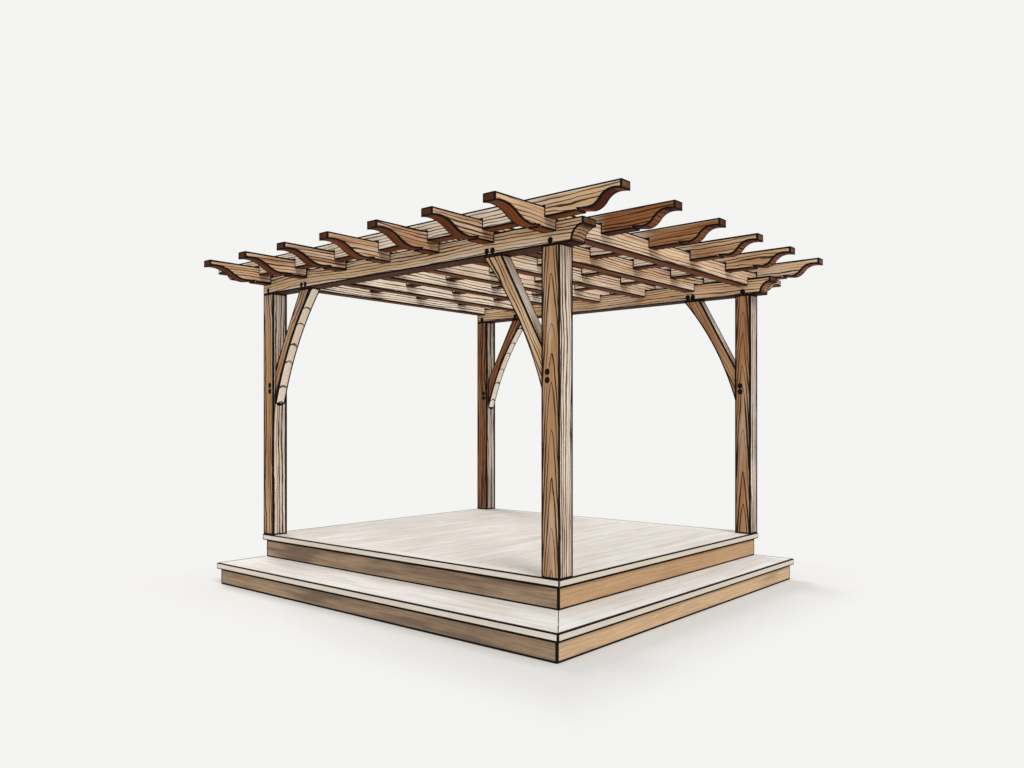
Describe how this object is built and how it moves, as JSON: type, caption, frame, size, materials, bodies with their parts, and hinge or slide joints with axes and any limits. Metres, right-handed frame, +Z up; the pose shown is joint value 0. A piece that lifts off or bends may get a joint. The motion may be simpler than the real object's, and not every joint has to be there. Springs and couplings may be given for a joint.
{
  "type": "wooden pergola",
  "caption": "Open timber pergola on a low boarded platform with a wraparound step; square posts with curved braces carry beams, rafters and purlins with shaped tails.",
  "frame": {"origin": "on the ground, below the middle of the roof", "axes": "+X to the right along the beams, +Y from the front step to the back, +Z up"},
  "size_m": [4.52, 4.22, 2.87],
  "materials": {
    "post_timber": "satin",
    "roof_timber": "satin",
    "brace_timber": "satin",
    "pegs": "satin",
    "deck_boards": "matte",
    "risers": "matte",
    "framing": "matte"
  },
  "bodies": {
    "root": {"beam_front": "roof_timber", "post_front_left": "post_timber", "brace_front_left": "brace_timber", "pegs_front_left": "pegs", "post_front_right": "post_timber", "brace_front_right": "brace_timber", "pegs_front_right": "pegs", "beam_back": "roof_timber", "post_back_left": "post_timber", "brace_back_left": "brace_timber", "pegs_back_left": "pegs", "post_back_right": "post_timber", "brace_back_right": "brace_timber", "pegs_back_right": "pegs", "rafter_1": "roof_timber", "rafter_2": "roof_timber", "rafter_3": "roof_timber", "rafter_4": "roof_timber", "rafter_5": "roof_timber", "rafter_6": "roof_timber", "rafter_7": "roof_timber", "purlin_1": "roof_timber", "purlin_2": "roof_timber", "purlin_3": "roof_timber", "purlin_4": "roof_timber", "purlin_5": "roof_timber", "purlin_6": "roof_timber", "floor": "deck_boards", "tread_front": "deck_boards", "tread_right": "deck_boards", "platform_riser_front": "risers", "platform_riser_back": "risers", "step_riser_front": "risers", "platform_riser_left": "risers", "platform_riser_right": "risers", "step_riser_right": "risers", "step_end_left": "risers", "step_end_back": "risers", "floor_joists": "framing", "post_blocks": "framing", "step_bearers_front": "framing", "step_bearers_right": "framing"}
  },
  "joints": []
}
